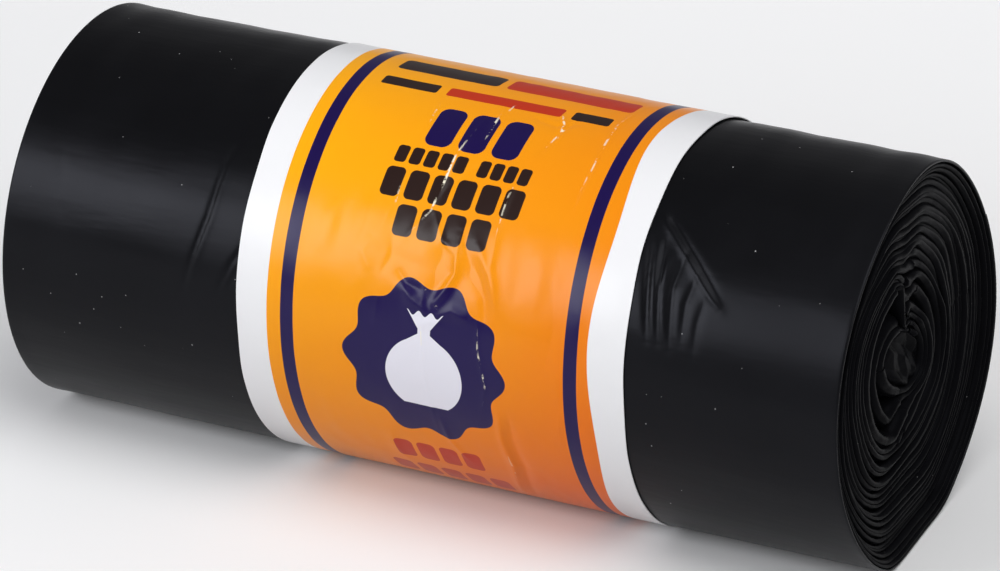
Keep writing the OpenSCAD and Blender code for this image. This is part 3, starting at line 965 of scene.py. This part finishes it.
def paperMaterial():
    material, tree, shader = newMaterial("printedPaper")
    node = tree.nodes.new("ShaderNodeAttribute")
    node.attribute_name = "printPlace"
    parts = tree.nodes.new("ShaderNodeSeparateXYZ")
    tree.links.new(node.outputs["Vector"], parts.inputs[0])
    leaning, around, along = parts.outputs  # along the leaning band, round it, and straight along the roll
    place = tree.nodes.new("ShaderNodeTexCoord").outputs["Object"]
    grain = useGroup(tree, crinkle, Place=place, Scale=paper["grain"], Stretch=paper["stretch"], Dust=0.0)
    left, right = printed["field"]
    across = calc(tree, "DIVIDE", calc(tree, "SUBTRACT", leaning, left), right - left, clamp=True)
    over = printed["downOver"]
    down = calc(tree, "MULTIPLY_ADD", around, 1 / over, -printed["downFrom"] / over, clamp=True)
    tone = calc(tree, "MULTIPLY_ADD", down, printed["downShare"], printed["toneStart"])
    tone = calc(tree, "MULTIPLY_ADD", across, printed["acrossShare"], tone)
    tone = calc(tree, "MULTIPLY_ADD", grain.outputs["Mottle"], printed["toneMottle"], tone, clamp=True)
    orange = mixColour(tree, tone, printed["orange"], printed["deepOrange"])
    edgeWave = calc(tree, "SINE", calc(tree, "MULTIPLY_ADD", around, *printed["edgeWaveTurn"]))
    edgeWave = calc(tree, "MULTIPLY", calc(tree, "MULTIPLY", edgeWave, printed["edgeWave"]), across)
    fieldPlace = calc(tree, "ADD", leaning, edgeWave)
    colour = mixColour(tree, between(tree, fieldPlace, left, right), printed["white"], orange)
    for stripe in printed["stripes"]:
        colour = mixColour(tree, between(tree, leaning, *stripe), colour, printed["navy"])
    group = markGroup()
    for ink, rows in markRows.items():
        colour = mixColour(tree, rowsMask(tree, group, along, around, rows), colour, printed[ink])
    sealMask, sackMask = sealMasks(tree, along, around)
    colour = mixColour(tree, sealMask, colour, printed["navy"])
    colour = mixColour(tree, calc(tree, "MULTIPLY", sealMask, sackMask), colour, printed["sackWhite"])
    crease = tree.nodes.new("ShaderNodeAttribute")
    crease.attribute_name = "crease"
    # Along the sharpest creases the print cracks to bare paper, and the same dashes carry a painted glint
    flakesAndGlints = addNoise(tree, place, *paper["flakesAndGlints"])
    broken = calc(tree, "MULTIPLY_ADD", flakesAndGlints, *paper["flakeAndGlintShare"], clamp=True)
    crackedAndGlinting = calc(tree, "MULTIPLY_ADD", crease.outputs["Fac"], *paper["crackAndGlintShare"], clamp=True)
    colour = mixColour(tree, calc(tree, "MULTIPLY", crackedAndGlinting, broken), colour, printed["bare"])
    tree.links.new(colour, shader.inputs["Base Color"])
    roughness = calc(tree, "MULTIPLY_ADD", grain.outputs["Mottle"], paper["mottling"], paper["rough"])
    tree.links.new(roughness, shader.inputs["Roughness"])
    shader.inputs["Specular IOR Level"].default_value = paper["gloss"]
    normal = addBump(tree, grain.outputs["Height"], paper["ripple"], paper["bump"])
    tree.links.new(normal, shader.inputs["Normal"])
    return material


print("paper")
printedPaper = paperMaterial()

paperFolds = [
    ([(35.7, -4), (34.7, 6), (35.7, 23), (35.2, 37)], 0.6, 0.24),
    ([(2.2, 14), (0.1, 27), (0.2, 35), (-0.5, 43), (-6.6, 53)], 0.8, 0.34),
    ([(-0.5, 41), (4.4, 49.7), (8.8, 52.5)], 0.9, 0.3),
    ([(9, 26), (4, 33), (1, 38)], 0.8, -0.24),
    ([(5, 8), (5.3, 22)], 0.6, 0.2),
    ([(-11.8, 10), (-11, 20)], 0.6, 0.16),
    ([(-12, 32), (-10.5, 40), (-12, 48)], 0.8, 0.2),
    ([(18.5, 4), (22, 10), (23.4, 18)], 0.8, 0.34),
    ([(24.5, 6), (22.6, 13), (20.6, 22)], 0.8, -0.3),
    ([(12, 9), (20, 11), (27, 8)], 0.8, -0.2),
    ([(18.8, 28), (17.9, 41), (19, 54), (21.5, 60)], 0.9, 0.34),
    ([(8.8, 46), (9.8, 57.5), (7.8, 62), (5, 67)], 1.3, 0.95),
    ([(5.2, 50), (5.9, 58), (4.2, 65)], 1.5, -0.7),
    ([(10, 49), (15.4, 57.6), (18.4, 61.3), (20, 68)], 1.5, -0.85),
    ([(13.4, 48), (19.2, 56.6), (22.2, 64)], 1.3, 0.65),
    ([(-4.6, 61), (-1, 65.5), (4.4, 68)], 1.4, 0.8),
    ([(6, 69), (10.5, 66.5), (15, 68)], 1.5, 0.7),
    ([(-6, 58.6), (-3, 62), (2, 63)], 1.3, -0.6),
    ([(0.6, 72), (5, 70), (9, 71)], 1.2, 0.3),
    ([(-14, 52), (-16, 56), (-13, 61)], 1.3, 0.26),
    ([(-9, 50), (-8, 56), (-10, 61)], 1.2, -0.24),
    ([(23.7, 90), (23.5, 99.5), (24.6, 109.8), (21.5, 131)], 1.0, 0.6),
    ([(26.6, 92), (26.4, 99.5), (27.5, 110), (24.5, 131)], 1.5, -0.75),
    ([(2.2, 62), (2.9, 70), (4, 84), (6, 103)], 0.6, 0.16),
    ([(17.6, 66), (18.4, 75), (20.6, 83.6), (19.1, 93)], 0.6, 0.18),
    ([(-9.8, 65), (-10.2, 75)], 0.6, 0.12),
    ([(-26.2, 44), (-26.6, 51), (-27.6, 59)], 1.6, 0.24),
    ([(-17.9, 42), (-18.2, 49), (-19.6, 57)], 1.6, 0.24),
    ([(-22, 44), (-22.4, 52), (-23.5, 59)], 1.6, -0.2),
    ([(-10, 55), (2, 57.5), (12, 58), (22, 55)], 4.4, -0.65),
    ([(-8, 103), (-9, 112), (-7, 121)], 1.5, 0.2),
    ([(7, 96), (8.5, 104), (12, 112)], 1.0, 0.3),
    ([(-24, 92), (-25, 103), (-23, 114)], 1.4, 0.22),
    ([(42, 54), (44, 62), (43, 70)], 1.6, 0.26),
    ([(36, 55), (38, 66), (36.5, 78)], 1.8, -0.22),
    ([(39.5, 74), (41, 86), (40, 98)], 1.8, 0.2),
]
# Where the print has cracked along a crease and a painted glint lies along it, and how far
cracksAndGlints = [
    ([(35.7, -4), (34.7, 6), (35.7, 23), (35.2, 37)], 0.75),
    ([(2.2, 14), (0.1, 27), (0.2, 35), (-0.5, 43), (-6.6, 53)], 1.0),
    ([(5, 9), (5.3, 22)], 0.9),
    ([(-11.8, 10), (-11, 20)], 0.7),
    ([(6.8, 2), (5.7, 12)], 0.7),
    ([(18.5, 4), (22, 10), (23.4, 18)], 0.85),
    ([(24.5, 6), (22.6, 13), (20.6, 22)], 0.8),
    ([(18.8, 27), (17.9, 36), (18.4, 50)], 0.75),
    ([(-10.8, 37), (-10.4, 45)], 0.7),
    ([(2.4, 62), (4.8, 66.4)], 1.0),
    ([(5, 65), (8, 67.5)], 1.0),
    ([(2.6, 66), (2.9, 74), (4, 84)], 0.65),
    ([(17.6, 66), (18.4, 75), (20.6, 83.6), (19.1, 93)], 0.75),
    ([(24, 101), (24.6, 111), (23, 122)], 0.6),
]
crumple = {
    # Height, length along the roll, degrees round and seed of each kind of wave
    "broad": (0.1 * mm, 17 * mm, 24, 51),
    "inBand": (0.24 * mm, 4.5 * mm, 26, 52),
    "fine": (0.05 * mm, 3 * mm, 5, 53),
    "band": (57, 15),  # middle and reach, in mm round from the top, of the crumples above the seal
    "sink": 0.1 * mm,
    "lowest": 0.8 * mm,
    "highest": 0.35,  # in mm, and as much again in the band
    "bottom": (24, 40),  # the bottom stays flat
    "crackAndGlintWide": 0.4 * mm,
}


def paperRelief(x, angle, s):
    band = bell(s / mm, *crumple["band"])
    relief = np.zeros_like(x)
    for kind, share in (("broad", 1), ("inBand", band), ("fine", 1)):
        high, long, turn, seed = crumple[kind]
        relief += high * share * softNoise(x / long, angle / turn, seed)
    relief += foldRelief(x, s, paperFolds) - crumple["sink"]
    limit = np.where(relief < 0, crumple["lowest"], crumple["highest"] * (1 + band) * mm)
    return limit * np.tanh(relief / limit) * smooth(fromBottom(angle), *crumple["bottom"])


def crackAndGlintLines(x, s):  # 1 along the sharpest creases, where the print has cracked and a glint is painted
    most = np.zeros_like(x)
    for path, weight in cracksAndGlints:
        nearest, strength = nearFold(x, s, path)
        most = np.maximum(most, weight * strength * bell(nearest, 0, crumple["crackAndGlintWide"]))
    return most


def makePaper():
    lapTurn = math.degrees(label["lapLong"] / roll["radius"])
    first, last = label["lapAt"] - lapTurn, label["lapAt"] + 360
    angle = inParts((first, *label["front"], last), label["columns"])
    s = np.radians(angle - 180) * roll["radius"]
    lapStart = last - lapTurn
    upperLap = smooth(angle, lapStart - label["lapStep"], lapStart)
    lowerLap = 1 - smooth(angle, first + lapTurn, first + lapTurn + label["lapAfter"])
    top = outline(angle, label["gap"] + label["thick"]) + label["thick"] * upperLap
    top -= label["lapDown"] * lowerLap
    single = np.clip(1 - lowerLap - smooth(angle, lapStart - label["lapCalm"], lapStart), 0, 1)
    lean = leanOf(angle, top)
    leanShare = math.cos(math.radians(label["lean"]))
    low = label["low"] + label["edgeWave"] * softNoise(s / label["edgeStep"], s * 0, 61)
    high = label["high"] + label["edgeWave"] * softNoise(s / label["edgeStep"], s * 0 + 5, 62)
    rows = []
    places = []
    creases = []

    def addRow(t, sink, wrinkled):
        leaning = low + (high - low) * t
        x = (leaning - lean) / leanShare
        fade = smooth(min(t, 1 - t), 0, label["edgeFade"])
        edgeShare = label["edgeRelief"] + (1 - label["edgeRelief"]) * fade
        relief = paperRelief(x, angle, s) * wrinkled * edgeShare * single
        rows.append(ringPoints(x, top + relief - sink, angle))
        places.append(np.stack([leaning / mm, s / mm, x / mm], -1))
        creases.append(crackAndGlintLines(x, s))

    for t in (0, 0.004, *inParts(label["creased"], label["rows"]), 0.996, 1):
        addRow(t, 0.0, 1.0)
    thick = label["thick"] - label["lapDown"]
    edgeSink, middleSink = thick + label["underEdge"], thick + label["underMiddle"]
    inLap = (lowerLap > 0.01) | (angle > lapStart - label["lapStep"])
    onFloor = np.cos(np.radians(angle)) > 0.9
    inside = ((1, thick, 1.0), (0.985, edgeSink, 0.3), (0.9, middleSink, 0),
              (0.1, middleSink, 0), (0.015, edgeSink, 0.3), (0, thick, 1.0))
    for t, sink, wrinkled in inside:  # the inner face, which keeps the paper's thickness in the lap and below
        addRow(t, np.where(inLap | onFloor, thick, sink), wrinkled)

    def closed(lists):  # the first row again at the end
        stack = np.stack(lists)
        return np.concatenate([stack, stack[:1]])

    mesh = gridMesh("paper_band", closed(rows))
    store = mesh.attributes.new("printPlace", "FLOAT_VECTOR", "POINT")
    store.data.foreach_set("vector", closed(places).astype(np.float32).ravel())
    store = mesh.attributes.new("crease", "FLOAT", "POINT")
    store.data.foreach_set("value", closed(creases).astype(np.float32).ravel())
    return closeEnds(mesh, weld=1e-7)


labelNodes = ["label_paper", "label_field", "label_stripes", "label_seal",
              "seal_sack", "navy_marks", "dark_marks", "red_marks"]
paperBand = makePiece("paper_band", makePaper(), printedPaper, labelNodes)
paperBand.data.set_sharp_from_angle(angle=math.radians(50))

# Floor, lamps, world and camera
studio = {
    "reach": 8.0,
    "floor": (0.93, 0.93, 0.93, 1),
    "floorBounce": (0.62, 0.62, 0.62, 1),  # what the floor sends on to the roll
    "backGlow": 0.22,  # makes the floor behind the roll whiter
    "glowRise": (2.4, -0.1),  # for each metre behind the roll, and at it
    "floorRough": 0.9,
    "floorGloss": 0.1,
    "skyLow": (0.2, 0.2, 0.21, 1),
    "skyHigh": (0.23, 0.23, 0.24, 1),
    "skyRise": (2.6, -0.1),
}
lamps = {
    "keyLamp": {"toward": (-0.675, -0.631, 0.379), "away": 1.62, "size": (1.6, 0.62), "power": 17.0,
                "colour": (0.95, 0.96, 0.99), "besideRoll": True},
    "topLamp": {"toward": (0.42, -0.22, 0.88), "away": 1.7, "size": (1.5, 1.5), "power": 19.5},
    "sideLamp": {"toward": (0.75, -0.62, 0.5), "away": 1.6, "size": (0.8, 0.8), "power": 1.4},
}


def addLamp(name, toward, away, size, power, colour=(1, 1, 1), besideRoll=False):
    data = bpy.data.lights.new(name, "AREA")
    data.shape = "RECTANGLE"
    data.size, data.size_y = size
    data.energy = power
    data.color = colour
    lamp = bpy.data.objects.new(name, data)
    scene.collection.objects.link(lamp)
    direction = Vector(toward).normalized()
    lamp.location = Vector((0, 0, roll["axisUp"])) + direction * away
    if besideRoll:  # lies along the roll
        direction.x = 0
    lamp.rotation_euler = (-direction).to_track_quat("-Z", "Y").to_euler()
    lamp.visible_camera = False


def makeFloor():
    mesh = bpy.data.meshes.new("floor")
    reach = studio["reach"]
    corners = [(-reach, -reach, 0), (reach, -reach, 0), (reach, reach, 0), (-reach, reach, 0)]
    mesh.from_pydata(corners, [], [(0, 1, 2, 3)])
    floor = bpy.data.objects.new("floor", mesh)
    scene.collection.objects.link(floor)
    material, tree, shader = newMaterial("floorPaint")
    path = tree.nodes.new("ShaderNodeLightPath").outputs
    seen = calc(tree, "MAXIMUM", path["Is Camera Ray"], path["Is Glossy Ray"])
    seen = calc(tree, "MAXIMUM", seen, path["Is Transmission Ray"])
    tree.links.new(mixColour(tree, seen, studio["floorBounce"], studio["floor"]), shader.inputs["Base Color"])
    behind = tree.nodes.new("ShaderNodeSeparateXYZ")
    tree.links.new(tree.nodes.new("ShaderNodeTexCoord").outputs["Object"], behind.inputs[0])
    share = calc(tree, "MULTIPLY_ADD", behind.outputs[1], *studio["glowRise"], clamp=True)
    share = calc(tree, "MULTIPLY", calc(tree, "MULTIPLY", share, seen), studio["backGlow"])
    shader.inputs["Emission Color"].default_value = (1, 1, 1, 1)
    tree.links.new(share, shader.inputs["Emission Strength"])
    shader.inputs["Roughness"].default_value = studio["floorRough"]
    shader.inputs["Specular IOR Level"].default_value = studio["floorGloss"]
    mesh.materials.append(material)


def makeSky():
    world = bpy.data.worlds.new("studioWorld")
    scene.world = world
    world.use_nodes = True
    tree = world.node_tree
    way = tree.nodes.new("ShaderNodeTexCoord").outputs["Generated"]
    parts = tree.nodes.new("ShaderNodeSeparateXYZ")
    tree.links.new(way, parts.inputs[0])
    up = calc(tree, "MULTIPLY_ADD", parts.outputs[2], *studio["skyRise"], clamp=True)
    colour = mixColour(tree, up, studio["skyLow"], studio["skyHigh"])
    tree.links.new(colour, tree.nodes["Background"].inputs["Color"])


view = {
    "azimuth": 26.13,
    "elevation": 25.03,
    "distance": 1.640,
    "aim": Vector((-1.5 * mm, 0, roll["axisUp"])),
    "lens": 232.9,
    "sensor": 36.0,
    "picture": (1000, 571),
    "aimPixel": (496.84, 278.20),  # where the aim lies in the picture
}


def makeCamera():
    data = bpy.data.cameras.new("camera")
    camera = bpy.data.objects.new("camera", data)
    scene.collection.objects.link(camera)
    turn, rise = math.radians(view["azimuth"]), math.radians(view["elevation"])
    back = Vector((math.sin(turn) * math.cos(rise), -math.cos(turn) * math.cos(rise), math.sin(rise)))
    camera.location = view["aim"] + back * view["distance"]
    camera.rotation_euler = (-back).to_track_quat("-Z", "Y").to_euler()
    data.lens = view["lens"]
    data.sensor_width = view["sensor"]
    width, height = view["picture"]
    data.shift_x = (width / 2 - view["aimPixel"][0]) / width
    data.shift_y = (view["aimPixel"][1] - height / 2) / width
    data.clip_start, data.clip_end = 0.05, 50.0
    scene.camera = camera


print("studio")
makeFloor()
for name, lamp in lamps.items():
    addLamp(name, **lamp)
makeSky()
makeCamera()
scene.view_settings.view_transform = "Standard"

print("done")
